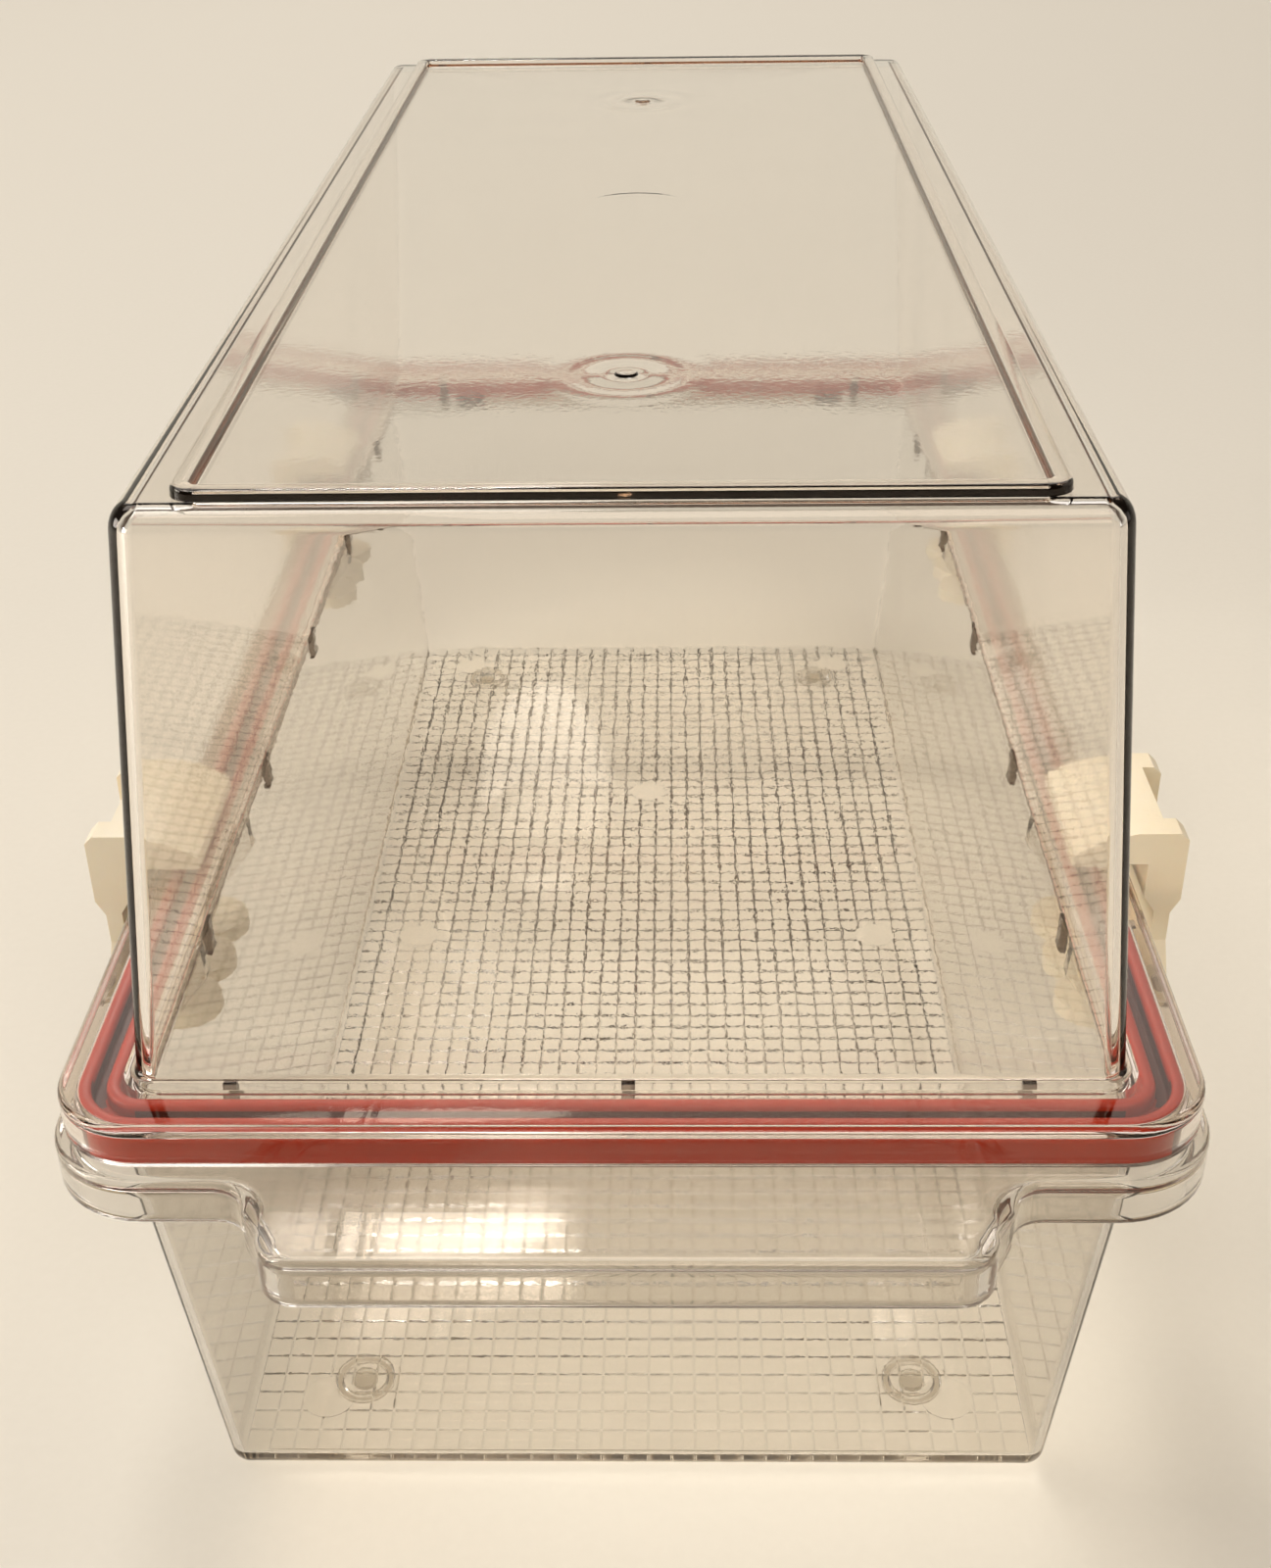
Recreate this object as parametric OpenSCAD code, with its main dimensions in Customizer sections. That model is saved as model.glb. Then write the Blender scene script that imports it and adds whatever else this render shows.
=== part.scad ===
// Cryogenic storage box: a clear tub with grips, a clear tall lid, a red seal ring and four side latches.
// Millimetres. X is across the box, Y along it, Z up. The origin is on the ground under the middle.
// Front is the -Y end and left is the -X side. The box is drawn shut, with every latch closed.

/* [Tub] */
// Outside width of the tub at its foot
tub_w = 136.4; // [130:0.2:138]
// Outside length of the tub at its foot
tub_l = 302.2; // [290:0.2:303]
// Height of the tub's sealing face above the ground
seal_z = 78.4; // [75:0.2:82]
// Wall thickness of the tub and the lid
wall = 2.2; // [1.8:0.1:2.6]
// Draft angle of all upright walls, in degrees
draft = 4.75; // [4.4:0.05:5]
// Outside radius of the upright corners
corner_r = 3.2; // [3:0.1:5]

/* [Rim and grips] */
// Width over the tub's rim
rim_w = 169.4; // [168:0.2:171]
// Length over the tub's rim, without the grips
rim_l = 333.4; // [332:0.2:340]
// Corner radius of the tub's rim
rim_r = 15; // [12:1:20]
// Thickness of the rim plates
rim_t = 2.6; // [2.2:0.1:3]
// Thickness of the skirt that hangs from the rim
skirt_t = 2.4; // [2:0.1:2.8]
// How far the skirt reaches below the sealing face
skirt_h = 7.5; // [6:0.5:7.5]
// How far each grip stands out from the rim
grip_out = 15.3; // [12:0.1:20]
// Width of each grip at its outer edge
grip_w = 102; // [80:1:110]

/* [Lid] */
// Height of the lid's top panel above the ground
lid_z = 172; // [150:1:180]
// Width of the lid's walls at the lid rim
dome_w = 144; // [143:0.2:144]
// Length of the lid's walls at the lid rim
dome_l = 306.6; // [305:0.2:307]
// How far the lid rim stands out from the lid's walls
lid_rim_out = 11.1; // [11:0.1:11.5]
// Height of the stacking bead on the top panel
bead_h = 1.5; // [1:0.5:3]
// Width of the stacking bead
bead_w = 2.8; // [2:0.2:4]

/* [Seal] */
// Height of the space between the two rims that the seal fills
seal_gap = 5.4; // [5:0.1:6]
// Width of the seal ring's cross-section
seal_w = 6.2; // [5.6:0.1:6.4]

/* [Latches] */
// Distance of each latch from the middle of the box, along the box
latch_y = 84.5; // [70:0.5:100]
// Width of the hook that grips the lid rim
hook_w = 27; // [22:1:32]
// Width of the lower, hinged part of a latch
tail_w = 37; // [34:1:40]
// Distance of the hinge axis from the box's centre plane
hinge_x = 87; // [86.8:0.1:87.2]
// Height of the hinge axis above the ground
hinge_z = 58; // [57:0.5:58]
// Diameter of the hinge bar
bar_d = 4; // [3.6:0.1:4.4]

/* [Hidden] */

slice = 0.02;
foot_h = 1.2;
foot_r = 5.2;
foot_x = 48;
foot_y = 132;
floor_t = 2.2;
edge_r = 2.4;

rim_top = seal_z + seal_gap + rim_t;
lid_rim_w = dome_w + 2 * lid_rim_out;
lid_rim_l = dome_l + 2 * lid_rim_out;
lid_rim_r = rim_r - 2;
lip_t = 2.6;
lip_gap = 0.9;
grip_root_r = 5;
grip_edge_r = 6;
grip_taper = 2.6;
grip_drop = 1.1;

seal_out_w = lid_rim_w - 2 * lip_t - 0.2;
seal_out_l = lid_rim_l - 2 * lip_t - 0.2;
seal_r = lid_rim_r - lip_t - 0.1;
seal_rib = 2.1;
seal_band = 2.5;
seal_air = 0.1;
locator_t = 1.2;
locator_h = 4;

bar_fit = 0.05;
knuckle_r = 4.2;
lug_t = 2.6;
lug_gap = 0.5;
hook_tip = 12;
hook_air = 0.5;
hook_wall = 0.6;
ear_out = 5.7;
leg_in = 1.4;
leg_out = 4.2;
lobe_count = 3;
lobe_reach = 12.4;
tail_t = 2.8;

fin_t = 2;
fin_pitch = 54;
end_fin_x = 58;

bead_side = 6;
bead_end = 1.1;

// Rectangle with round corners, drawn from exact arcs
module plate(w, l, r, sides = 48) {
    square([w, l - 2 * r], center = true);
    square([w - 2 * r, l], center = true);
    for (sx = [-1, 1], sy = [-1, 1])
        translate([sx * (w / 2 - r), sy * (l / 2 - r)])
            circle(r, $fn = sides);
}

// Ring of constant width whose outside is the given plate
module frame_ring(w, l, r, t) {
    difference() {
        plate(w, l, r);
        plate(w - 2 * t, l - 2 * t, max(r - t, 0.5));
    }
}

// One thin slice of a drafted box: grow is how far it stands out from the foot size on each side
module box_slice(w, l, r, grow, z) {
    translate([0, 0, z])
        linear_extrude(slice)
            plate(w + 2 * grow, l + 2 * grow, r, 32);
}

// Solid of the tub's outside, inset by the wall for its hollow
module tub_solid(inset, low, high) {
    w = tub_w - 2 * inset;
    l = tub_l - 2 * inset;
    r = corner_r - inset * 0.8;
    lean = tan(draft);
    hull() {
        box_slice(w, l, r, (low - foot_h) * lean - edge_r * 0.6, low);
        box_slice(w, l, r, (low - foot_h) * lean - edge_r * 0.15, low + edge_r * 0.35);
        box_slice(w, l, r, (low + edge_r - foot_h) * lean, low + edge_r);
        box_slice(w, l, r, (high - foot_h) * lean, high);
    }
}

// Solid of the lid's outside, inset by the wall for its hollow
module dome_solid(inset, low, high) {
    w = dome_w - 2 * inset;
    l = dome_l - 2 * inset;
    r = corner_r - inset * 0.8;
    lean = -tan(draft);
    hull() {
        box_slice(w, l, r, (low - rim_top) * lean, low);
        box_slice(w, l, r, (high - edge_r - rim_top) * lean, high - edge_r - slice);
        box_slice(w, l, r, (high - rim_top) * lean - edge_r * 0.15, high - edge_r * 0.35 - slice);
        box_slice(w, l, r, (high - rim_top) * lean - edge_r * 0.6, high - slice);
    }
}

// Points of an arc from angle a to angle b
function arc(c, r, a, b, steps = 6) =
    [for (i = [0:steps]) c + r * [cos(a + (b - a) * i / steps), sin(a + (b - a) * i / steps)]];

// Outline of one grip, from inside the rim to the outer edge, drawn inset by t
module grip_outline(t) {
    edge = grip_w / 2 - t;
    root = edge + grip_taper;
    base = rim_l / 2 - t;
    out = rim_l / 2 + grip_out - t;
    root_r = grip_root_r + t;
    edge_round = grip_edge_r - t;
    right = concat(
        [[0, base - 20], [root + root_r, base - 20]],
        arc([root + root_r, base + root_r], root_r, 270, 180),
        arc([edge - edge_round, out - edge_round], edge_round, 0, 90),
        [[0, out]]);
    polygon(right);
    mirror([1, 0]) polygon(right);
}

// Outline of the tub's whole rim with both grips, drawn inset by t
module rim_outline(t) {
    plate(rim_w - 2 * t, rim_l - 2 * t, rim_r - t);
    for (m = [0, 1])
        mirror([0, m]) grip_outline(t);
}

// Skirt that hangs from the rim, a little deeper under the grips
module skirt() {
    translate([0, 0, seal_z - skirt_h])
        linear_extrude(skirt_h)
            difference() {
                rim_outline(0);
                rim_outline(skirt_t);
            }
    translate([0, 0, seal_z - skirt_h - grip_drop])
        linear_extrude(skirt_h)
            intersection() {
                difference() {
                    rim_outline(0);
                    rim_outline(skirt_t);
                }
                for (sy = [-1, 1])
                    translate([-grip_w / 2 - 1, sy * (rim_l / 2 + grip_out) - 12])
                        square([grip_w + 2, 24]);
            }
}

// Round foot: a ring round a centre button, so it nests inside the bead of a box below
module foot() {
    difference() {
        cylinder(r = foot_r, h = foot_h + 1, $fn = 48);
        translate([0, 0, -1])
            cylinder(r = foot_r - 1.4, h = foot_h + 1, $fn = 48);
    }
    cylinder(r = 2.2, h = foot_h + 1, $fn = 48);
}

// Places a child at each of the four latches, mirrored to its own side
module at_latch(side, end) {
    translate([0, end * latch_y, 0])
        mirror([side < 0 ? 1 : 0, 0, 0])
            children();
}

// Extrudes a drawing of X and Z along Y, centred
module along_y(width) {
    rotate([90, 0, 0])
        linear_extrude(width, center = true)
            children();
}

// Side view of a lug that holds the hinge bar under the rim
module lug_outline() {
    wall_x = tub_w / 2 + 5;
    translate([hinge_x, hinge_z]) circle(knuckle_r, $fn = 48);
    polygon([[wall_x, seal_z - skirt_h], [hinge_x - knuckle_r, hinge_z], [hinge_x + 1, hinge_z + 4],
             [rim_w / 2 - 1.5, seal_z - skirt_h], [rim_w / 2 - 1.5, seal_z - 1], [wall_x, seal_z - 1]]);
}

// Two lugs and the bar between them, moulded in one with the tub
module hinge() {
    place = tail_w / 2 + lug_gap + lug_t / 2;
    for (sy = [-1, 1])
        translate([0, sy * place, 0])
            along_y(lug_t) lug_outline();
    translate([hinge_x, 0, hinge_z])
        rotate([90, 0, 0])
            cylinder(d = bar_d, h = 2 * place, center = true, $fn = 48);
}

module base_tub() {
    color([0.88, 0.86, 0.83, 0.45])
        difference() {
            union() {
                tub_solid(0, foot_h, seal_z - 1);
                translate([0, 0, seal_z - rim_t])
                    linear_extrude(rim_t) rim_outline(0);
                skirt();
                for (sx = [-1, 1], sy = [-1, 1]) {
                    translate([sx * foot_x, sy * foot_y, 0]) foot();
                    at_latch(sx, sy) hinge();
                }
            }
            tub_solid(wall, foot_h + floor_t, seal_z + 1);
        }
}

// Side view of a locating fin inside the mouth of the lid, with x measured from the lid's inner wall
module fin_outline() {
    polygon([[1.6, seal_z - 1.4], [0.9, seal_z - 1.4], [0.3, seal_z - 0.2], [0.3, rim_top - 1],
             [1.6, rim_top - 1]]);
}

module fins() {
    for (sx = [-1, 1], i = [-2:2])
        translate([0, i * fin_pitch, 0])
            mirror([sx < 0 ? 1 : 0, 0, 0])
                translate([dome_w / 2 - wall, 0, 0])
                    along_y(fin_t) fin_outline();
    for (sy = [-1, 1], i = [-1:1])
        translate([i * end_fin_x, 0, 0])
            rotate([0, 0, sy * 90])
                translate([dome_l / 2 - wall, 0, 0])
                    along_y(fin_t) fin_outline();
}

module lid_cover() {
    top_w = dome_w - 2 * (lid_z - rim_top) * tan(draft) - 2 * edge_r * 0.6;
    top_l = dome_l - 2 * (lid_z - rim_top) * tan(draft) - 2 * edge_r * 0.6;
    color([0.90, 0.87, 0.84, 0.4]) {
        difference() {
            union() {
                dome_solid(0, rim_top - rim_t, lid_z);
                translate([0, 0, rim_top - rim_t])
                    linear_extrude(rim_t) plate(lid_rim_w, lid_rim_l, lid_rim_r);
                translate([0, 0, seal_z + lip_gap])
                    linear_extrude(rim_top - seal_z - lip_gap - 0.5)
                        frame_ring(lid_rim_w, lid_rim_l, lid_rim_r, lip_t);
                translate([0, 0, rim_top - rim_t - locator_h])
                    linear_extrude(locator_h + 1)
                        frame_ring(seal_out_w - 2 * seal_w - 0.2, seal_out_l - 2 * seal_w - 0.2,
                                   seal_r - seal_w + 2, locator_t);
                translate([0, 0, lid_z - 0.5])
                    linear_extrude(bead_h + 0.5)
                        frame_ring(top_w - 2 * bead_side, top_l - 2 * bead_end, 3.5, bead_w);
            }
            dome_solid(wall, rim_top - rim_t - 1, lid_z - wall);
        }
        fins();
    }
}

// Seal ring: a flat band that rests on the tub, with two ribs that carry the lid
module gasket() {
    low = seal_z + seal_air;
    color([0.72, 0.22, 0.14]) {
        translate([0, 0, low])
            linear_extrude(seal_band)
                frame_ring(seal_out_w, seal_out_l, seal_r, seal_w);
        translate([0, 0, low])
            linear_extrude(seal_gap - 2 * seal_air) {
                frame_ring(seal_out_w, seal_out_l, seal_r, seal_rib);
                frame_ring(seal_out_w - 2 * (seal_w - seal_rib), seal_out_l - 2 * (seal_w - seal_rib),
                           seal_r - seal_w + seal_rib, seal_rib);
            }
    }
}

// Side view of the hook: over the lid rim, round its edge and down to the leg
module hook_outline() {
    under = rim_top + hook_air;
    polygon([[hinge_x - hook_tip, under], [hinge_x - hook_tip, under + 2.3], [hinge_x - 8, under + 4.7],
             [hinge_x - 3, under + 6], [hinge_x + ear_out - 1.4, under + 6],
             [hinge_x + ear_out, under + 4.6], [hinge_x + ear_out, seal_z + 1.4],
             [hinge_x + leg_out, seal_z - 1.4], [hinge_x + leg_out, seal_z - 12],
             [hinge_x + leg_in, seal_z - 12], [hinge_x + leg_in, seal_z - 1],
             [hinge_x - hook_wall, seal_z + 2], [hinge_x - hook_wall, under]]);
}

// Leg that widens from the hook down to the hinge
module leg() {
    translate([hinge_x + leg_in, 0, 0])
        rotate([90, 0, 90])
            linear_extrude(leg_out - leg_in)
                polygon([[-hook_w / 2, seal_z - 2], [-hook_w / 2, seal_z - 7], [-tail_w / 2, seal_z - 14],
                         [-tail_w / 2, hinge_z], [tail_w / 2, hinge_z], [tail_w / 2, seal_z - 14],
                         [hook_w / 2, seal_z - 7], [hook_w / 2, seal_z - 2]]);
}

// Tail plate that reaches in to the tub wall, with a scalloped edge
module tail() {
    lobe_r = tail_w / lobe_count / 2;
    lobe_x = hinge_x - lobe_reach + lobe_r;
    translate([0, 0, hinge_z - tail_t / 2])
        linear_extrude(tail_t) {
            translate([lobe_x, -tail_w / 2]) square([hinge_x - 3 - lobe_x, tail_w]);
            for (i = [0:lobe_count - 1])
                translate([lobe_x, (2 * i + 1) * lobe_r - tail_w / 2])
                    circle(lobe_r, $fn = 48);
        }
}

// One latch, drawn for the right side of the box
module latch() {
    recess_w = hook_w - 10;
    color([0.93, 0.87, 0.72])
        difference() {
            union() {
                along_y(hook_w) hook_outline();
                leg();
                tail();
                translate([hinge_x, 0, hinge_z])
                    rotate([90, 0, 0])
                        cylinder(r = knuckle_r, h = tail_w, center = true, $fn = 48);
            }
            translate([hinge_x + 2.2, -recess_w / 2, seal_z + 1.4])
                cube([ear_out, recess_w, 20]);
            translate([hinge_x, 0, hinge_z])
                rotate([90, 0, 0])
                    cylinder(r = bar_d / 2 + bar_fit, h = tail_w + 2, center = true, $fn = 48);
            translate([hinge_x - 1.6, -tail_w / 2 - 1, hinge_z - 10])
                cube([3.2, tail_w + 2, 10]);
        }
}

module latch_front_left() { at_latch(-1, -1) latch(); }
module latch_front_right() { at_latch(1, -1) latch(); }
module latch_rear_left() { at_latch(-1, 1) latch(); }
module latch_rear_right() { at_latch(1, 1) latch(); }

base_tub();
lid_cover();
gasket();
latch_front_left();
latch_front_right();
latch_rear_left();
latch_rear_right();
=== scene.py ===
import math

import bmesh
import bpy
from mathutils import Matrix, Vector


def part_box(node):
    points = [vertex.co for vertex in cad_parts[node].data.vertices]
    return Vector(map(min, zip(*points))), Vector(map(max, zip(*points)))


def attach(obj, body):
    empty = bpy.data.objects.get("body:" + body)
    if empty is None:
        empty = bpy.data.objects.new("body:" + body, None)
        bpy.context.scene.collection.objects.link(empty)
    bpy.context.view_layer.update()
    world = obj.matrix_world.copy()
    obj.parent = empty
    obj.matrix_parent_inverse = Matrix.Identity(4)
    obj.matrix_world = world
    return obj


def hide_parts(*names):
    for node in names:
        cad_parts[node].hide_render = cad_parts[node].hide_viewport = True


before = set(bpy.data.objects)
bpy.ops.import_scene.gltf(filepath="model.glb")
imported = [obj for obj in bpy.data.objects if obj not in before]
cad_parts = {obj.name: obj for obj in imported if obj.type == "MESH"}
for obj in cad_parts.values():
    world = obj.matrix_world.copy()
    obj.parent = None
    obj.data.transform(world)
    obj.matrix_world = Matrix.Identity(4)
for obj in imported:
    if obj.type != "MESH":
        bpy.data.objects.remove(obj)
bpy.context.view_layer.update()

# Cryogenic storage box: clear tub and lid shells, red seal ring and four cream latches.
# Shapes are drawn in millimetres in the frame's own axes and scaled to metres when a piece is made.
# Front is -Y, left is -X.

MM = 0.001


def box_mm(node):
    """Lowest and highest corner of a CAD node, in millimetres."""
    low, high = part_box(node)
    return low / MM, high / MM


TUB_HIGH = box_mm("base_tub")[1]
LID_HIGH = box_mm("lid_cover")[1]
SEAL_LOW, SEAL_HIGH = box_mm("gasket")
LATCH_LOW, LATCH_HIGH = box_mm("latch_front_right")

ARC = 12            # segments in an upright corner
ROUND = 4           # segments in a small edge rounding
LEAN = math.tan(math.radians(4.75))
WALL = 2.2          # wall thickness of the CAD model, which places the fins
TUB_WALL = 1.5
LID_WALL = 1.7
CORNER_R = 3.2
INNER_R = CORNER_R - TUB_WALL

# Tub
FOOT_H = 1.2
FOOT_X = 68.2
FOOT_Y = 151.1
FLOOR_Z = FOOT_H + 2.2
FOOT_IN = 1.44
FOOT_UP = 2.4
SEAL_Z = TUB_HIGH.z
RIM_T = 2.6
RIM_X = 84.7
RIM_Y = 166.7
RIM_R = 15.0
SKIRT_T = 2.4
SKIRT_H = 7.5
GRIP_OUT = TUB_HIGH.y - RIM_Y
GRIP_HALF = 51.0
GRIP_TAPER = 2.6
GRIP_ROOT_R = 5.0
GRIP_EDGE_R = 6.0
GRIP_DROP = 1.1

# Waffle pattern of the tub's inner floor
CELLS_X = 33
CELLS_Y = 73
GROOVE_W = 0.50
COLUMN_D = 0.26
ROW_D = 0.17
WAFFLE_EDGE = 0.12
DISC_R = 4.5
DISC_H = 0.1
DISC_DEEP = 0.8
DISCS = [(x, y) for x in (-53.4, 53.4) for y in (-137.5, 0, 137.5)] + [(0, -65), (0, 65)]
FEET = [(x, y) for x in (-48, 48) for y in (-132, 132)]
FEET_RING = (5.2, 3.8, 2.2)

# Raised lip round the tub's mouth
MOUTH_LIP_W = 0.55
MOUTH_LIP_H = 0.75
MOUTH_LIP_IN = 0.3
MOUTH_LIP_GAP = 0.02
MOUTH_LIP_R = 0.15

# Lid
RIM_TOP = SEAL_Z + 5.4 + RIM_T
LID_TOP = LID_HIGH.z - 1.5
DOME_X = 72.0
DOME_Y = 153.3
LID_RIM_X = LID_HIGH.x
LID_RIM_Y = LID_HIGH.y
LID_RIM_R = RIM_R - 2
LIP_T = 2.6
LIP_LOW = SEAL_Z + 0.9
LOCATOR_T = 1.2
LOCATOR_LOW = RIM_TOP - RIM_T - 4
EDGE_IN = 2.4
EDGE_DOWN = 3.4
TOP_IN = (LID_TOP - RIM_TOP) * LEAN + 1.44
BEAD_X = DOME_X - TOP_IN - 6.0
BEAD_Y = DOME_Y - TOP_IN - 1.1
BEAD_W = 2.8
BEAD_R = 3.5
GATES = [(0, -96), (0, 96)]
MARK_R = 11.0
FIN_T = 2.0
FIN_PITCH = 54.0
END_FIN_X = 58.0

# Seal ring
SEAL_X = SEAL_HIGH.x
SEAL_Y = SEAL_HIGH.y
SEAL_R = LID_RIM_R - LIP_T - 0.1
SEAL_W = 6.2
RIB_W = 2.1
SEAL_BASE = 2.5

# Latches
HINGE_X = 87.0
HINGE_Z = 58.0
LATCH_Y = (LATCH_LOW.y + LATCH_HIGH.y) / -2
HOOK_W = 27.0
TAIL_W = 37.0
TAIL_T = 2.8
LEG_IN = 1.4
LEG_OUT = 4.2
HOOK_GAP = 0.5
HOOK_T = 6.0
KNUCKLE_R = 4.2
BAR_R = 2.0
LUG_T = 2.6
LUG_Y = TAIL_W / 2 + 0.5 + LUG_T / 2


# ---------------------------------------------------------------- outlines and lofts

def arc(cx, cy, r, start, end, steps):
    """Points of an arc about (cx, cy), angles in degrees."""
    angles = [math.radians(start + (end - start) * i / steps) for i in range(steps + 1)]
    return [(cx + r * math.cos(a), cy + r * math.sin(a)) for a in angles]


def grip_side(inset):
    """Right half of a rim's short side with its grip, as (x, y) from the root to the middle, y positive."""
    edge = GRIP_HALF - inset
    root = edge + GRIP_TAPER
    base = RIM_Y - inset
    out = RIM_Y + GRIP_OUT - inset
    root_r = GRIP_ROOT_R + inset
    edge_r = GRIP_EDGE_R - inset
    return (arc(root + root_r, base + root_r, root_r, 270, 180, 6)
            + arc(edge - edge_r, out - edge_r, edge_r, 0, 90, 6))


GRIP_XS = [x for x, y in grip_side(0)]


def around(hx, hy, r, side):
    """Outline of a round-cornered rectangle, with the given right half for its two short sides."""
    r = max(r, 0.3)
    rear = side + [(-x, y) for x, y in reversed(side)]
    front = [(-x, -y) for x, y in rear]
    return (arc(hx - r, r - hy, r, -90, 0, ARC) + arc(hx - r, hy - r, r, 0, 90, ARC) + rear
            + arc(r - hx, hy - r, r, 90, 180, ARC) + arc(r - hx, r - hy, r, 180, 270, ARC) + front)


def plain_ring(hx, hy, r, z):
    """Ring of a round-cornered rectangle at a height."""
    return [(x, y, z) for x, y in around(hx, hy, r, [])]


def tub_ring(out, r, z):
    """Ring of the tub's wall, out being how far it stands out from the foot size."""
    hy = FOOT_Y + out
    return [(x, y, z) for x, y in around(FOOT_X + out, hy, r, [(x, hy) for x in GRIP_XS])]


def drop_at(x, y):
    """How much deeper the skirt is at a point: the grips' outer edge hangs a little lower."""
    t = min(max((abs(y) - RIM_Y - 3) / 6, 0), 1)
    return GRIP_DROP * t * t * (3 - 2 * t)


def rim_ring(inset, z, drops=False):
    """Ring of the tub's rim with both grips, drawn inset."""
    outline = around(RIM_X - inset, RIM_Y - inset, RIM_R - inset, grip_side(inset))
    return [(x, y, z - (drop_at(x, y) if drops else 0)) for x, y in outline]


def quarter(steps=ROUND):
    """Sine and cosine pairs from 0 to 90 degrees."""
    angles = [math.pi / 2 * i / steps for i in range(steps + 1)]
    return [(math.sin(a), math.cos(a)) for a in angles]


def add_ring(bm, ring):
    return [bm.verts.new(p) for p in ring]


def skin(bm, low, high):
    """Quads between two rings of the same count."""
    n = len(low)
    for i in range(n):
        bm.faces.new((low[i], low[(i + 1) % n], high[(i + 1) % n], high[i]))


def loft(bm, rings, close=False):
    """Skins a list of rings and returns their vertices."""
    loops = [add_ring(bm, ring) for ring in rings]
    for low, high in zip(loops, loops[1:]):
        skin(bm, low, high)
    if close:
        skin(bm, loops[-1], loops[0])
    return loops


def loop_edges(bm, loop):
    """The edges of a closed loop of vertices."""
    pairs = zip(loop, loop[1:] + loop[:1])
    return [bm.edges.get(pair) or bm.edges.new(pair) for pair in pairs]


def circle_loop(bm, x, y, r, z, steps=40):
    points = arc(x, y, r, 0, 360 * (steps - 1) / steps, steps - 1)
    return add_ring(bm, [(px, py, z) for px, py in points])


def fill(bm, loops):
    """Flat fill inside the first loop, with the other loops as holes."""
    edges = [e for loop in loops for e in loop_edges(bm, loop)]
    bmesh.ops.triangle_fill(bm, edges=edges, use_beauty=True, use_dissolve=False, normal=(0, 0, 1))


def bump_rings(bm, x, y, z, profile):
    """Round detail on a flat face, as capped rings of (radius, height) from the outside in."""
    loops = [circle_loop(bm, x, y, r, z + h) for r, h in profile]
    for low, high in zip(loops, loops[1:]):
        skin(bm, low, high)
    bm.faces.new(loops[-1])
    return loops[0]


def extruded(bm, outline, low, high, place):
    """Closed prism of an outline, place turning (u, v, w) into a point, w running from low to high."""
    bottom = [bm.verts.new(place(u, v, low)) for u, v in outline]
    top = [bm.verts.new(place(u, v, high)) for u, v in outline]
    skin(bm, bottom, top)
    bm.faces.new(bottom)
    bm.faces.new(top)


# ---------------------------------------------------------------- pieces

def scaled_mesh(name, bm):
    """Object of a mesh drawn in millimetres, its normals outward."""
    bmesh.ops.recalc_face_normals(bm, faces=bm.faces)
    bmesh.ops.scale(bm, vec=(MM, MM, MM), verts=bm.verts)
    mesh = bpy.data.meshes.new(name)
    bm.to_mesh(mesh)
    bm.free()
    piece = bpy.data.objects.new(name, mesh)
    bpy.context.scene.collection.objects.link(piece)
    return piece


def boolean(piece, tool, operation):
    """Applies an exact boolean to a piece and removes the tool."""
    cut = piece.modifiers.new("boolean", "BOOLEAN")
    cut.operation = operation
    cut.object = tool
    cut.solver = "EXACT"
    cut.use_self = True
    apply_modifiers(piece)
    bpy.data.objects.remove(tool)


def apply_modifiers(piece):
    """Turns a piece's modifiers into its mesh."""
    depsgraph = bpy.context.evaluated_depsgraph_get()
    mesh = bpy.data.meshes.new_from_object(piece.evaluated_get(depsgraph))
    piece.modifiers.clear()
    piece.data = mesh


def finish_piece(piece, material, body, node, sharp):
    """Shading, material and body of a piece that stands for one CAD node, whose CAD mesh it hides."""
    piece.data.materials.clear()
    piece.data.materials.append(material)
    piece.data.shade_smooth()
    piece.data.set_sharp_from_angle(angle=math.radians(sharp))
    normals = piece.modifiers.new("flat walls", "WEIGHTED_NORMAL")
    normals.keep_sharp = True
    normals.weight = 100
    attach(piece, body)
    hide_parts(node)


# ---------------------------------------------------------------- tub

def wall_out(z):
    """How far the tub's outer wall stands out from the foot size at a height."""
    return (z - FOOT_H) * LEAN


def tub_rings():
    """Rings of the tub: inner floor up, over the rim and skirt, and down the outside to the foot."""
    rings = []
    floor_r = 1.0
    for s, c in quarter():
        z = FLOOR_Z + floor_r * (1 - c)
        inset = floor_r * (1 - s)
        rings.append(tub_ring(wall_out(z) - TUB_WALL - inset, INNER_R - inset, z))
    mouth_r = 0.5
    for s, c in quarter():
        z = SEAL_Z - mouth_r * (1 - s)
        grow = mouth_r * (1 - c)
        rings.append(tub_ring(wall_out(SEAL_Z) - TUB_WALL + grow, INNER_R + grow, z))
    edge_r = 1.0
    for s, c in quarter():
        rings.append(rim_ring(edge_r * (1 - s), SEAL_Z - edge_r * (1 - c)))
    skirt_low = SEAL_Z - SKIRT_H
    hem_r = 0.8
    for s, c in quarter():
        rings.append(rim_ring(hem_r * (1 - c), skirt_low + hem_r * (1 - s), True))
    for s, c in quarter():
        rings.append(rim_ring(SKIRT_T - hem_r * (1 - s), skirt_low + hem_r * (1 - c), True))
    under = SEAL_Z - RIM_T
    root_r = 1.0
    for s, c in quarter():
        rings.append(rim_ring(SKIRT_T + root_r * (1 - c), under - root_r * (1 - s)))
    for s, c in quarter():
        z = under - root_r * (1 - c)
        grow = root_r * (1 - s)
        rings.append(tub_ring(wall_out(z) + grow, CORNER_R + grow, z))
    for s, c in quarter(6):
        z = FOOT_H + FOOT_UP * (1 - s)
        inset = FOOT_IN * (1 - c)
        rings.append(tub_ring(wall_out(z) - inset, CORNER_R - inset, z))
    return rings


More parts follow.
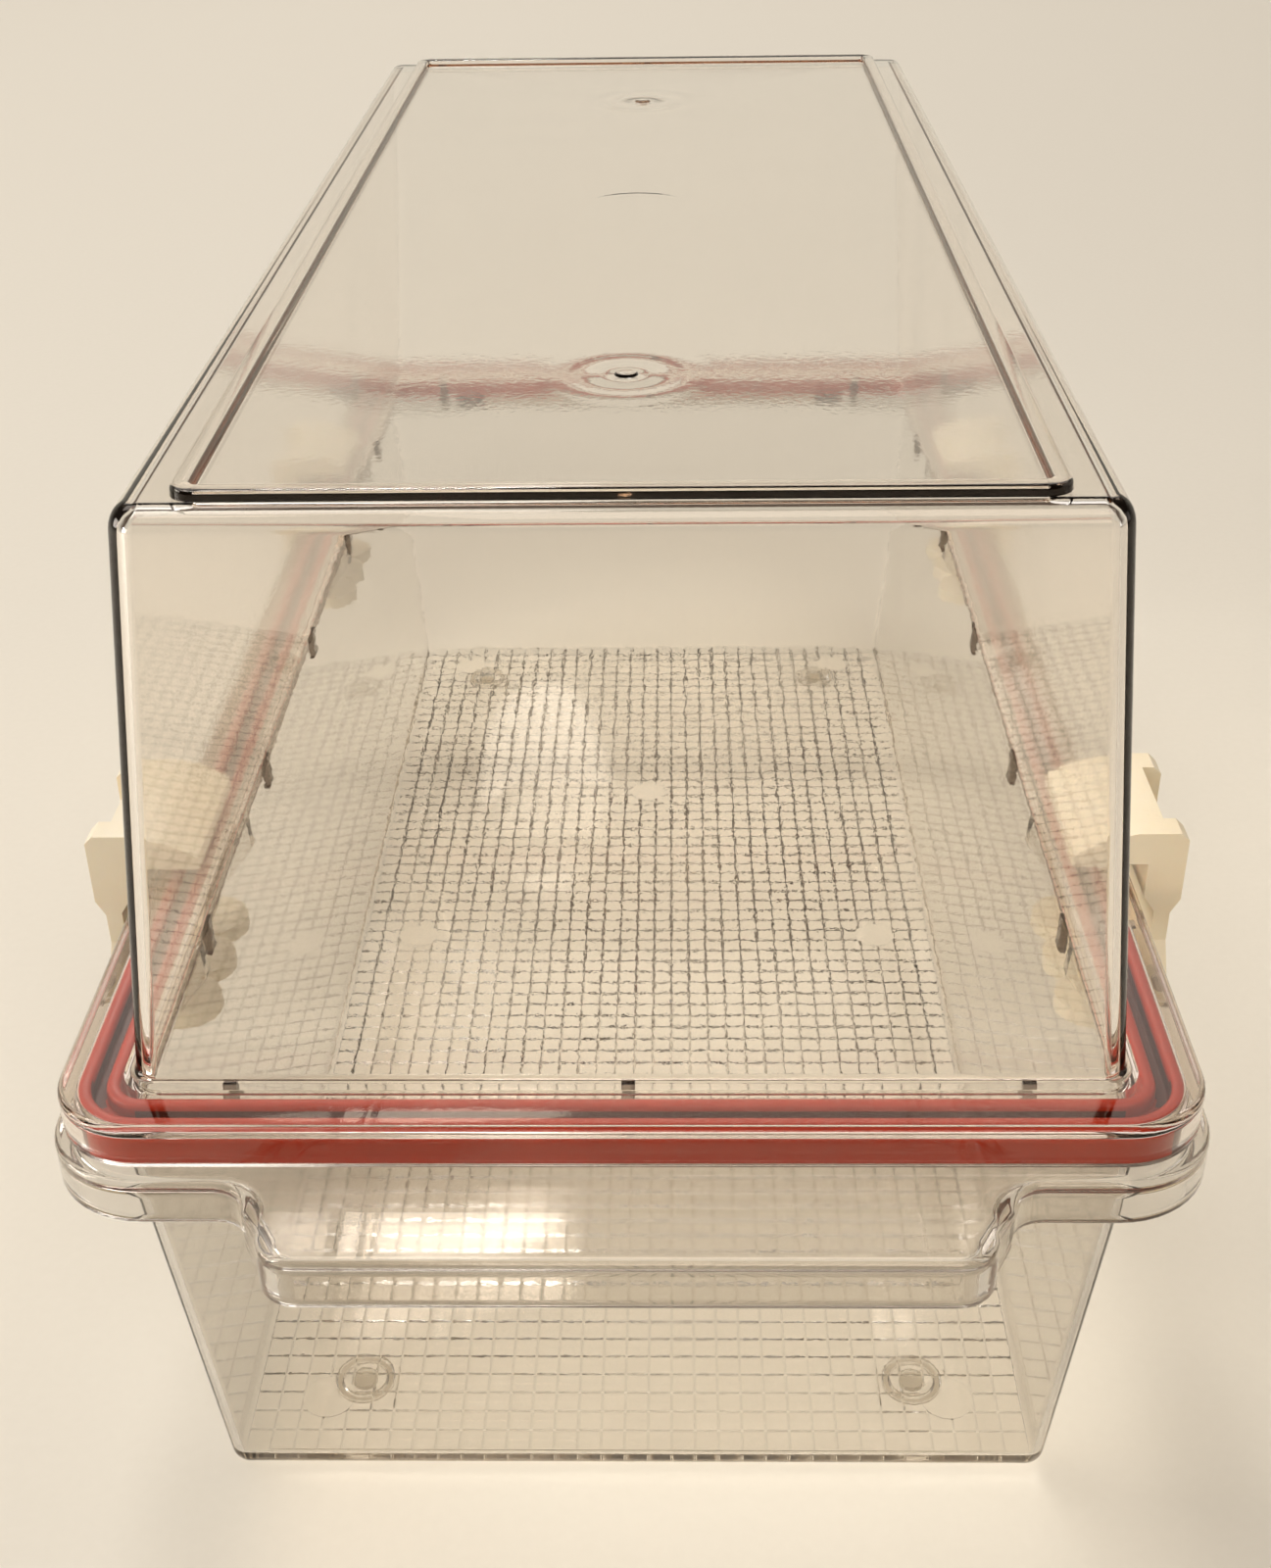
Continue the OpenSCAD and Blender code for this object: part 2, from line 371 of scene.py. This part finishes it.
def foot_rings(bm, x, y):
    """One round foot under the tub: a ring round a centre button."""
    outer, inner, button = FEET_RING
    low = -FOOT_H
    profile = [(outer, 0), (outer, low + 0.3), (outer - 0.3, low), (inner + 0.3, low), (inner, low + 0.3),
               (inner, 0), (button, 0), (button, low + 0.3), (button - 0.3, low)]
    return bump_rings(bm, x, y, FOOT_H, profile)


def lug_outline():
    """Side view of a hinge lug as (x, z), its inner edge inside the tub wall."""
    low, high = SEAL_Z - SKIRT_H, SEAL_Z - 1.4
    inside = FOOT_X - TUB_WALL / 2
    knuckle = arc(HINGE_X, HINGE_Z, KNUCKLE_R, -180, 70, 17)
    return ([(inside + wall_out(low), low)] + knuckle
            + [(RIM_X - 1.5, low + 0.4), (RIM_X - 1.5, high), (inside + wall_out(high), high)])


def hinges():
    """The eight lugs and four bars that are moulded with the tub."""
    bm = bmesh.new()
    bar = arc(HINGE_X, HINGE_Z, BAR_R, 0, 345, 23)
    for side in (-1, 1):
        for end in (-1, 1):
            def place(u, v, w):
                return (side * u, end * LATCH_Y + w, v)
            for lug in (-LUG_Y, LUG_Y):
                extruded(bm, lug_outline(), lug - LUG_T / 2, lug + LUG_T / 2, place)
            extruded(bm, bar, -LUG_Y, LUG_Y, place)
    return scaled_mesh("hinges", bm)


def cell_lines(half, cells, depth):
    """Lines across a row of cells, each with its depth: cell edges, and groove bottoms between them."""
    pitch = 2 * half / cells
    lines = [(-half, 0)]
    for i in range(1, cells):
        middle = i * pitch - half
        lines += [(middle - GROOVE_W / 2, 0), (middle, depth), (middle + GROOVE_W / 2, 0)]
    return lines + [(half, 0)]


def waffle(bm, border):
    """Square cells between V grooves over the inner floor, joined to the border loop."""
    xs = cell_lines(max(v.co.x for v in border) - WAFFLE_EDGE, CELLS_X, COLUMN_D)
    ys = cell_lines(max(v.co.y for v in border) - WAFFLE_EDGE, CELLS_Y, ROW_D)
    grid = [[bm.verts.new((x, y, FLOOR_Z - max(dx, dy))) for x, dx in xs] for y, dy in ys]
    for low, high in zip(grid, grid[1:]):
        for i in range(len(xs) - 1):
            bm.faces.new((low[i], low[i + 1], high[i + 1], high[i]))
    rim = grid[0] + [row[-1] for row in grid[1:-1]] + grid[-1][::-1] + [row[0] for row in grid[-2:0:-1]]
    fill(bm, [border, rim])


def discs():
    """Flat ejector discs that stand level with the crowns of the cells."""
    bm = bmesh.new()
    for x, y in DISCS:
        outline = arc(x, y, DISC_R, 0, 350, 35)
        extruded(bm, outline, FLOOR_Z - DISC_DEEP, FLOOR_Z + DISC_H, lambda u, v, w: (u, v, w))
    return scaled_mesh("discs", bm)


def make_tub(material):
    bm = bmesh.new()
    loops = loft(bm, tub_rings())
    bm.faces.new(loops[0])
    feet = [foot_rings(bm, x, y) for x, y in FEET]
    fill(bm, [loops[-1]] + feet)
    tub = scaled_mesh("tub_shell", bm)
    boolean(tub, hinges(), "UNION")
    bm = bmesh.new()
    bm.from_mesh(tub.data)
    bmesh.ops.scale(bm, vec=(1 / MM, 1 / MM, 1 / MM), verts=bm.verts)
    floor = max((f for f in bm.faces if abs(f.calc_center_median().z - FLOOR_Z) < 0.01),
                key=lambda f: f.calc_area())
    border = list(floor.verts)
    bmesh.ops.delete(bm, geom=[floor], context="FACES_ONLY")
    waffle(bm, border)
    bmesh.ops.recalc_face_normals(bm, faces=bm.faces)
    bmesh.ops.scale(bm, vec=(MM, MM, MM), verts=bm.verts)
    bm.to_mesh(tub.data)
    bm.free()
    boolean(tub, discs(), "UNION")
    finish_piece(tub, material, "base", "base_tub", 32)
    return tub


def make_lip(material):
    """Thin raised lip round the tub's mouth, in a dark-tinted plastic: painted shade for the dark line
    along the mouth's edge.
    """
    inner = wall_out(SEAL_Z) - TUB_WALL + MOUTH_LIP_IN
    wide, high, bevel = MOUTH_LIP_W, MOUTH_LIP_H, MOUTH_LIP_R
    section = [(0, 0), (0, high - bevel), (bevel, high),
               (wide - bevel, high), (wide, high - bevel), (wide, 0)]
    rings = []
    for u, h in section:
        z = SEAL_Z + MOUTH_LIP_GAP + h
        rings.append(plain_ring(FOOT_X + inner + u, FOOT_Y + inner + u, INNER_R + MOUTH_LIP_IN + u, z))
    bm = bmesh.new()
    loft(bm, rings, close=True)
    lip = scaled_mesh("tub_lip", bm)
    finish_piece(lip, material, "base", "base_tub", 32)
    return lip


# ---------------------------------------------------------------- lid

def dome_ring(inset, r, z):
    """Ring of the lid's wall at a height, inset from the outer wall."""
    lean = (z - RIM_TOP) * LEAN
    return plain_ring(DOME_X - lean - inset, DOME_Y - lean - inset, r - inset * 0.8, z)


def lid_rim_ring(inset, z):
    """Ring of the lid's rim at a height, drawn inset."""
    return plain_ring(LID_RIM_X - inset, LID_RIM_Y - inset, LID_RIM_R - inset, z)


def lid_rings():
    """Rings of the lid: inside of the top, down, round the rim and lip, and up to the bead."""
    rings = []
    inner_r = 2.2
    under_top = LID_TOP - LID_WALL
    for s, c in quarter():
        z = under_top - inner_r * (1 - c)
        rings.append(dome_ring(LID_WALL + inner_r * (1 - s), CORNER_R, z))
    mouth = RIM_TOP - RIM_T
    mouth_r = 0.6
    for s, c in quarter():
        grow = mouth_r * (1 - c)
        z = mouth + mouth_r * (1 - s)
        rings.append(dome_ring(LID_WALL - grow, CORNER_R, z))
    locator_x = SEAL_X - SEAL_W - 0.1
    locator_y = SEAL_Y - SEAL_W - 0.1
    locator_r = SEAL_R - SEAL_W + 2
    for inset, z in ((LOCATOR_T, mouth), (LOCATOR_T, LOCATOR_LOW + 0.3),
                     (LOCATOR_T - 0.3, LOCATOR_LOW), (0.3, LOCATOR_LOW),
                     (0, LOCATOR_LOW + 0.3), (0, mouth)):
        rings.append(plain_ring(locator_x - inset, locator_y - inset, locator_r - inset, z))
    for inset, z in ((LIP_T + 0.5, mouth), (LIP_T + 0.15, mouth - 0.15), (LIP_T, mouth - 0.5)):
        rings.append(lid_rim_ring(inset, z))
    hem_r = 0.7
    for s, c in quarter():
        rings.append(lid_rim_ring(LIP_T - hem_r * (1 - c), LIP_LOW + hem_r * (1 - s)))
    for s, c in quarter():
        rings.append(lid_rim_ring(hem_r * (1 - s), LIP_LOW + hem_r * (1 - c)))
    edge_r = 1.1
    for s, c in quarter():
        rings.append(lid_rim_ring(edge_r * (1 - c), RIM_TOP - edge_r * (1 - s)))
    root_r = 1.0
    for s, c in quarter():
        grow = root_r * (1 - s)
        rings.append(dome_ring(-grow, CORNER_R, RIM_TOP + root_r * (1 - c)))
    for s, c in quarter(6):
        z = LID_TOP - EDGE_DOWN * (1 - s)
        rings.append(dome_ring(EDGE_IN * (1 - c), CORNER_R, z))
    bead_h = LID_HIGH.z - LID_TOP
    for inset, h in ((-0.12, 0), (-0.03, 0.05), (0, 0.15),
                     (0, bead_h - 0.6), (0.18, bead_h - 0.18), (0.6, bead_h),
                     (BEAD_W - 0.6, bead_h), (BEAD_W - 0.18, bead_h - 0.18), (BEAD_W, bead_h - 0.6),
                     (BEAD_W, 0.25), (BEAD_W + 0.07, 0.07), (BEAD_W + 0.25, 0)):
        rings.append(plain_ring(BEAD_X - inset, BEAD_Y - inset, BEAD_R - inset, LID_TOP + h))
    return rings


def gate_profile():
    """Moulding gate on the lid's top: slow ripples round a small nib."""
    radii = (14, 12, 10, 8.5, 7, 5.5, 4, 3)
    ripple = [(r, 0.09 * math.cos(r * 0.9) * math.exp(-(r / 8) ** 2)) for r in radii]
    return [(16, 0)] + ripple + [(1.8, 0), (1.5, 0.35), (0.8, 0.5)]


def fin_outline():
    """Side view of a locating fin as (x, z), x from the lid's inner wall at the rim."""
    low = SEAL_Z - 1.4
    high = RIM_TOP - RIM_T - 0.02
    return [(1.9, high), (1.6, low + 0.3), (1.4, low), (0.7, low),
            (0.1, low + 1.1), (0.3, low + 2.0), (0.4, high)]


def make_fins(material):
    """Locating fins round the mouth of the lid, just under its rim."""
    bm = bmesh.new()
    for side in (-1, 1):
        def along_side(u, v, w):
            return (side * (DOME_X - WALL + u), w, v)

        def along_end(u, v, w):
            return (w, side * (DOME_Y - WALL + u), v)

        for i in range(-2, 3):
            middle = i * FIN_PITCH
            extruded(bm, fin_outline(), middle - FIN_T / 2, middle + FIN_T / 2, along_side)
        for i in range(-1, 2):
            middle = i * END_FIN_X
            extruded(bm, fin_outline(), middle - FIN_T / 2, middle + FIN_T / 2, along_end)
    piece = scaled_mesh("lid_fins", bm)
    finish_piece(piece, material, "lid", "lid_cover", 32)
    return piece


def make_lid(material):
    bm = bmesh.new()
    loops = loft(bm, lid_rings())
    bm.faces.new(loops[0])
    gates = [bump_rings(bm, x, y, LID_TOP, gate_profile()) for x, y in GATES]
    mark = bump_rings(bm, 0, 0, LID_TOP, [(MARK_R, 0), (MARK_R - 0.3, -0.1)])
    fill(bm, [loops[-1], mark] + gates)
    lid = scaled_mesh("lid_shell", bm)
    finish_piece(lid, material, "lid", "lid_cover", 32)
    return lid


# ---------------------------------------------------------------- seal

def make_seal(material, shade):
    """Seal ring: a band with two round-topped ribs, and a groove between them whose faces take the second,
    darker material: painted shade in the groove.
    """
    low = SEAL_LOW.z
    top = SEAL_HIGH.z
    floor = low + SEAL_BASE
    half = [(0.5, low), (0.15, low + 0.15), (0, low + 0.5),
            (0, top - 1), (0.15, top - 0.35), (0.5, top - 0.05), (RIB_W / 2, top),
            (RIB_W - 0.5, top - 0.05), (RIB_W - 0.15, top - 0.35), (RIB_W, top - 1),
            (RIB_W, floor + 0.4), (RIB_W + 0.12, floor + 0.12), (RIB_W + 0.4, floor)]
    section = half + [(SEAL_W - inset, z) for inset, z in reversed(half)]
    bm = bmesh.new()
    rings = [plain_ring(SEAL_X - inset, SEAL_Y - inset, SEAL_R - inset, z) for inset, z in section]
    loft(bm, rings, close=True)
    seal = scaled_mesh("seal_ring", bm)
    finish_piece(seal, material, "lid", "gasket", 50)
    seal.data.materials.append(shade)
    # Faces down in the groove get the near-black silicone: painted shade where the groove lies in shadow
    # under the lid's rim.
    in_groove = RIB_W - 0.05
    for face in seal.data.polygons:
        x, y, z = face.center / MM
        inset = min(SEAL_X - abs(x), SEAL_Y - abs(y))
        if in_groove < inset < SEAL_W - in_groove and low + 1 < z < top - 0.5:
            face.material_index = 1
    return seal


# ---------------------------------------------------------------- latches

def hook_outline():
    """Side view of the hook as (x, z): over the lid rim, round its edge and down to the leg."""
    under = RIM_TOP + HOOK_GAP
    top = under + HOOK_T
    out = LATCH_HIGH.x
    leg_in = HINGE_X + LEG_IN
    leg_out = HINGE_X + LEG_OUT
    return [(HINGE_X - 12, under), (HINGE_X - 12, under + 2.3), (HINGE_X - 8, under + 4.7),
            (HINGE_X - 3, top), (out - 1.4, top), (out, top - 1.4), (out, SEAL_Z + 1.4),
            (leg_out, SEAL_Z - 1.4), (leg_out, SEAL_Z - 3), (leg_in, SEAL_Z - 3),
            (leg_in, SEAL_Z - 1), (HINGE_X - 0.6, SEAL_Z + 2), (HINGE_X - 0.6, under)]


def leg_outline():
    """Front view of the leg as (y, z), widening down to the hinge."""
    half = [(HOOK_W / 2, SEAL_Z - 2.5), (HOOK_W / 2, SEAL_Z - 7),
            (TAIL_W / 2, SEAL_Z - 14), (TAIL_W / 2, HINGE_Z)]
    return half + [(-y, z) for y, z in reversed(half)]


def tail_outline():
    """Plan of the tail plate as (x, y), with its scalloped inner edge."""
    lobe_r = TAIL_W / 6
    lobe_x = LATCH_LOW.x + lobe_r
    points = [(HINGE_X - 3, -TAIL_W / 2)]
    for i in (-1, 0, 1):
        points += arc(lobe_x, i * 2 * lobe_r, lobe_r, 270, 90, 12)[(0 if i < 0 else 1):]
    return points + [(HINGE_X - 3, TAIL_W / 2)]


def make_latch(name, side, end, material):
    """One latch, placed on its side and end of the box."""
    def along_y(u, v, w):
        return (side * u, end * LATCH_Y + w, v)

    def along_x(u, v, w):
        return (side * w, end * LATCH_Y + u, v)

    def along_z(u, v, w):
        return (side * u, end * LATCH_Y + v, w)

    def solid(outline, low, high, place):
        bm = bmesh.new()
        extruded(bm, outline, low, high, place)
        return scaled_mesh("tool", bm)

    bm = bmesh.new()
    extruded(bm, hook_outline(), -HOOK_W / 2, HOOK_W / 2, along_y)
    latch = scaled_mesh(name + "_moulding", bm)
    boolean(latch, solid(leg_outline(), HINGE_X + LEG_IN, HINGE_X + LEG_OUT, along_x), "UNION")
    boolean(latch, solid(tail_outline(), HINGE_Z - TAIL_T / 2, HINGE_Z + TAIL_T / 2, along_z), "UNION")
    knuckle = arc(HINGE_X, HINGE_Z, KNUCKLE_R, 0, 350, 35)
    boolean(latch, solid(knuckle, -TAIL_W / 2, TAIL_W / 2, along_y), "UNION")
    recess = HOOK_W / 2 - 5
    hollow = [(HINGE_X + 2.2, SEAL_Z + 1.4), (HINGE_X + 12, SEAL_Z + 1.4), (HINGE_X + 12, SEAL_Z + 30),
              (HINGE_X + 2.2, SEAL_Z + 30)]
    boolean(latch, solid(hollow, -recess, recess, along_y), "DIFFERENCE")
    bore_r = BAR_R + 0.05
    slot = arc(HINGE_X, HINGE_Z, bore_r, -40, 220, 26)
    slot += [(HINGE_X - 1.6, HINGE_Z - 8), (HINGE_X + 1.6, HINGE_Z - 8)]
    boolean(latch, solid(slot, -TAIL_W, TAIL_W, along_y), "DIFFERENCE")
    edges = latch.modifiers.new("moulded edges", "BEVEL")
    edges.width = 0.5 * MM
    edges.segments = 3
    edges.limit_method = "ANGLE"
    edges.angle_limit = math.radians(35)
    finish_piece(latch, material, name, name, 50)
    return latch


# ---------------------------------------------------------------- materials

REFLECTION = (0.60, 0.52, 0.45, 1)      # tint of the clear plastics' reflections
SHADOW = (0.94, 0.94, 0.935, 1)         # light that each clear surface lets through into its shadow


def new_material(name):
    material = bpy.data.materials.new(name)
    material.use_nodes = True
    tree = material.node_tree
    return material, tree, tree.nodes["Principled BSDF"]


def noise(tree, coords, scale, detail):
    """Noise texture driven by object coordinates."""
    node = tree.nodes.new("ShaderNodeTexNoise")
    node.inputs["Scale"].default_value = scale
    node.inputs["Detail"].default_value = detail
    tree.links.new(coords.outputs["Object"], node.inputs["Vector"])
    return node


def ramp(tree, source, low, high):
    """Maps a texture's value to the range from low to high."""
    node = tree.nodes.new("ShaderNodeMapRange")
    node.inputs["From Min"].default_value = 0.3
    node.inputs["From Max"].default_value = 0.7
    node.inputs["To Min"].default_value = low
    node.inputs["To Max"].default_value = high
    tree.links.new(source, node.inputs["Value"])
    return node


def bump(tree, source, distance, strength=1.0, before=None):
    node = tree.nodes.new("ShaderNodeBump")
    node.inputs["Distance"].default_value = distance
    node.inputs["Strength"].default_value = strength
    tree.links.new(source, node.inputs["Height"])
    if before:
        tree.links.new(before.outputs["Normal"], node.inputs["Normal"])
    return node


def clear_plastic(name, tint, depth_tint, density, haze):
    """Clear moulded plastic: tinted by its depth, slightly wavy and hazy, with pale shadows."""
    material, tree, shader = new_material(name)
    coords = tree.nodes.new("ShaderNodeTexCoord")
    shader.inputs["Base Color"].default_value = (*tint, 1)
    shader.inputs["IOR"].default_value = 1.58
    shader.inputs["Transmission Weight"].default_value = 1.0
    shader.inputs["Specular Tint"].default_value = REFLECTION
    smears = noise(tree, coords, 60, 4)
    roughness = ramp(tree, smears.outputs["Fac"], 0.0, haze)
    tree.links.new(roughness.outputs["Result"], shader.inputs["Roughness"])
    waves = bump(tree, noise(tree, coords, 30, 1).outputs["Fac"], 0.00003)
    grain = bump(tree, noise(tree, coords, 900, 3).outputs["Fac"], 0.000003, before=waves)
    tree.links.new(grain.outputs["Normal"], shader.inputs["Normal"])
    rays = tree.nodes.new("ShaderNodeLightPath")
    see_through = tree.nodes.new("ShaderNodeBsdfTransparent")
    see_through.inputs["Color"].default_value = SHADOW
    mix = tree.nodes.new("ShaderNodeMixShader")
    tree.links.new(rays.outputs["Is Shadow Ray"], mix.inputs["Fac"])
    tree.links.new(shader.outputs["BSDF"], mix.inputs[1])
    tree.links.new(see_through.outputs["BSDF"], mix.inputs[2])
    tree.links.new(mix.outputs["Shader"], tree.nodes["Material Output"].inputs["Surface"])
    depth = tree.nodes.new("ShaderNodeVolumeAbsorption")
    depth.inputs["Color"].default_value = (*depth_tint, 1)
    depth.inputs["Density"].default_value = density
    tree.links.new(depth.outputs["Volume"], tree.nodes["Material Output"].inputs["Volume"])
    return material


def silicone(name, dark, light):
    """Silicone with soft mottling between two tones and a fine satin grain."""
    material, tree, shader = new_material(name)
    coords = tree.nodes.new("ShaderNodeTexCoord")
    mottle = noise(tree, coords, 120, 4)
    colours = tree.nodes.new("ShaderNodeMix")
    colours.data_type = "RGBA"
    colours.inputs["A"].default_value = (*dark, 1)
    colours.inputs["B"].default_value = (*light, 1)
    tree.links.new(mottle.outputs["Fac"], colours.inputs["Factor"])
    tree.links.new(colours.outputs["Result"], shader.inputs["Base Color"])
    roughness = ramp(tree, mottle.outputs["Fac"], 0.35, 0.5)
    tree.links.new(roughness.outputs["Result"], shader.inputs["Roughness"])
    shader.inputs["Specular IOR Level"].default_value = 0.25
    shader.inputs["Subsurface Weight"].default_value = 0.08
    shader.inputs["Subsurface Radius"].default_value = (0.002, 0.0006, 0.0004)
    grain = bump(tree, noise(tree, coords, 2500, 3).outputs["Fac"], 0.00002)
    tree.links.new(grain.outputs["Normal"], shader.inputs["Normal"])
    return material


def cream_plastic():
    """Cream moulded plastic, slightly translucent, aged unevenly."""
    material, tree, shader = new_material("cream_plastic")
    coords = tree.nodes.new("ShaderNodeTexCoord")
    ageing = noise(tree, coords, 35, 4)
    colours = tree.nodes.new("ShaderNodeMix")
    colours.data_type = "RGBA"
    colours.inputs["A"].default_value = (0.92, 0.82, 0.63, 1)
    colours.inputs["B"].default_value = (0.86, 0.73, 0.51, 1)
    tone = ramp(tree, ageing.outputs["Fac"], 0.0, 1.0)
    tree.links.new(tone.outputs["Result"], colours.inputs["Factor"])
    tree.links.new(colours.outputs["Result"], shader.inputs["Base Color"])
    roughness = ramp(tree, ageing.outputs["Fac"], 0.34, 0.48)
    tree.links.new(roughness.outputs["Result"], shader.inputs["Roughness"])
    shader.inputs["Subsurface Weight"].default_value = 0.25
    shader.inputs["Subsurface Radius"].default_value = (0.004, 0.003, 0.0018)
    grain = bump(tree, noise(tree, coords, 1500, 4).outputs["Fac"], 0.00003)
    tree.links.new(grain.outputs["Normal"], shader.inputs["Normal"])
    return material


def paper():
    """Cream paper of the stage."""
    material, tree, shader = new_material("cream_paper")
    coords = tree.nodes.new("ShaderNodeTexCoord")
    fibres = noise(tree, coords, 500, 4)
    colours = tree.nodes.new("ShaderNodeMix")
    colours.data_type = "RGBA"
    colours.inputs["A"].default_value = (0.83, 0.77, 0.66, 1)
    colours.inputs["B"].default_value = (0.86, 0.80, 0.69, 1)
    tree.links.new(fibres.outputs["Fac"], colours.inputs["Factor"])
    tree.links.new(colours.outputs["Result"], shader.inputs["Base Color"])
    shader.inputs["Roughness"].default_value = 0.85
    return material


# ---------------------------------------------------------------- stage, light and camera

def make_stage():
    """A large pale floor."""
    bm = bmesh.new()
    bmesh.ops.create_circle(bm, cap_ends=True, segments=96, radius=4.0)
    mesh = bpy.data.meshes.new("floor")
    bm.to_mesh(mesh)
    bm.free()
    floor = bpy.data.objects.new("floor", mesh)
    floor.data.materials.append(paper())
    bpy.context.scene.collection.objects.link(floor)


def area_light(name, target, azimuth, elevation, distance, size, power, colour):
    """Softbox aimed at a point from an azimuth (0 is the front, 90 the right) and elevation in degrees."""
    lamp = bpy.data.lights.new(name, "AREA")
    lamp.shape = "RECTANGLE"
    lamp.size, lamp.size_y = size
    lamp.energy = power
    lamp.color = colour
    a, e = math.radians(azimuth), math.radians(elevation)
    away = Vector((math.sin(a) * math.cos(e), -math.cos(a) * math.cos(e), math.sin(e)))
    light = bpy.data.objects.new(name, lamp)
    light.location = Vector(target) + away * distance
    light.rotation_mode = "QUATERNION"
    light.rotation_quaternion = away.to_track_quat("Z", "Y")
    bpy.context.scene.collection.objects.link(light)
    return light


def smooth(tree, source, start, end):
    """Eases a value from 0 at start to 1 at end."""
    node = tree.nodes.new("ShaderNodeMapRange")
    node.interpolation_type = "SMOOTHSTEP"
    node.inputs["From Min"].default_value = start
    node.inputs["From Max"].default_value = end
    tree.links.new(source, node.inputs["Value"])
    return node.outputs["Result"]


def product(tree, first, second):
    node = tree.nodes.new("ShaderNodeMath")
    node.operation = "MULTIPLY"
    tree.links.new(first, node.inputs[0])
    tree.links.new(second, node.inputs[1])
    return node.outputs["Value"]


def blend(tree, below, colour, factor):
    """Mixes a colour over another colour or socket by a factor."""
    node = tree.nodes.new("ShaderNodeMix")
    node.data_type = "RGBA"
    node.inputs["B"].default_value = (*colour, 1)
    tree.links.new(factor, node.inputs["Factor"])
    if isinstance(below, tuple):
        node.inputs["A"].default_value = (*below, 1)
    else:
        tree.links.new(below, node.inputs["A"])
    return node.outputs["Result"]


def make_world():
    """A dim warm room that is pale near the horizon at the sides, palest behind the box."""
    world = bpy.data.worlds.new("room")
    world.use_nodes = True
    tree = world.node_tree
    coords = tree.nodes.new("ShaderNodeTexCoord")
    split = tree.nodes.new("ShaderNodeSeparateXYZ")
    tree.links.new(coords.outputs["Generated"], split.inputs["Vector"])
    along, up = split.outputs["Y"], split.outputs["Z"]
    horizon = product(tree, smooth(tree, along, -0.5, 0.2), smooth(tree, up, 0.3, 0.0))
    room = blend(tree, (0.10, 0.075, 0.058), (0.55, 0.50, 0.43), horizon)
    backdrop = product(tree, smooth(tree, along, 0.1, 0.8), smooth(tree, up, 0.56, 0.38))
    sky = blend(tree, room, (0.70, 0.65, 0.55), backdrop)
    tree.links.new(sky, tree.nodes["Background"].inputs["Color"])
    bpy.context.scene.world = world


def make_lights():
    middle = (0, 0, 0.09)
    white = (1.0, 0.98, 0.95)
    area_light("key", middle, -115, 66, 4.0, (2.2, 2.2), 55, white)
    area_light("front_fill", (0.05, -0.25, 0), 10, 50, 2.2, (1.2, 0.9), 14, white)
    area_light("rear_wash", (0, 1.7, 0), 0, 90, 1.6, (2.4, 1.0), 7.5, white)
    area_light("left_fill", middle, -75, 14, 1.6, (0.7, 0.5), 12, white)
    area_light("right_fill", middle, 75, 14, 1.6, (0.7, 0.5), 1.0, white)
    grip = (-0.026, -TUB_HIGH.y * MM, SEAL_Z * MM)
    area_light("grip_glare", grip, 190.5, 43.4, 6.0, (1.0, 0.34), 56, white).data.shape = "ELLIPSE"
    floor = (-0.022, 0.0, FLOOR_Z * MM)
    area_light("floor_glare", floor, 184.5, 30.5, 6.0, (0.42, 0.70), 1.6, white).data.shape = "ELLIPSE"


def make_camera():
    """Camera above the front end, looking down along the box."""
    pitch, yaw, roll = math.radians(30.875), math.radians(-1.363), math.radians(0.907)
    data = bpy.data.cameras.new("camera")
    data.sensor_width = 36
    data.lens = 44.145
    camera = bpy.data.objects.new("camera", data)
    turn = (Matrix.Rotation(-yaw, 4, "Z") @ Matrix.Rotation(math.pi / 2 - pitch, 4, "X")
            @ Matrix.Rotation(-roll, 4, "Z"))
    camera.matrix_world = Matrix.Translation((0.0069, -0.3694, 0.2653)) @ turn
    bpy.context.scene.collection.objects.link(camera)
    bpy.context.scene.camera = camera


def make_look():
    """View transform, and enough bounces for light to pass through several clear walls."""
    scene = bpy.context.scene
    scene.view_settings.view_transform = "Standard"
    scene.cycles.max_bounces = 32
    scene.cycles.transmission_bounces = 32
    scene.cycles.glossy_bounces = 16
    scene.cycles.transparent_max_bounces = 32
    scene.cycles.sample_clamp_indirect = 6.0


make_camera()
make_stage()
make_world()
make_lights()
make_look()
clear_tub = clear_plastic("clear_tub_plastic", (0.85, 0.835, 0.81), (0.76, 0.70, 0.62), 60, 0.05)
# Lip plastic: a dense dark brown depth tint, painted shade for the dark line along the tub's mouth.
lip_painted_shade = clear_plastic("lip_plastic_painted_shade", (0.9, 0.88, 0.85), (0.32, 0.22, 0.15), 3500, 0.05)
clear_lid = clear_plastic("clear_lid_plastic", (0.99, 0.985, 0.97), (0.91, 0.80, 0.70), 75, 0.03)
# Fin plastic: a dense dark brown depth tint, painted shade for the dark wedges of the fins.
fin_painted_shade = clear_plastic("fin_plastic_painted_shade", (0.9, 0.88, 0.84), (0.34, 0.26, 0.20), 1000, 0.05)
red = silicone("brick_red_silicone", (0.27, 0.013, 0.001), (0.36, 0.024, 0.003))
# Near-black silicone for the seal's groove: painted shade, not a different silicone.
groove = silicone("groove_painted_shade_silicone", (0.05, 0.005, 0.002), (0.09, 0.009, 0.003))
cream = cream_plastic()

make_tub(clear_tub)
make_lip(lip_painted_shade)
make_lid(clear_lid)
make_fins(fin_painted_shade)
make_seal(red, groove)
for end_name, end in (("front", -1), ("rear", 1)):
    for side_name, side in (("left", -1), ("right", 1)):
        make_latch(f"latch_{end_name}_{side_name}", side, end, cream)
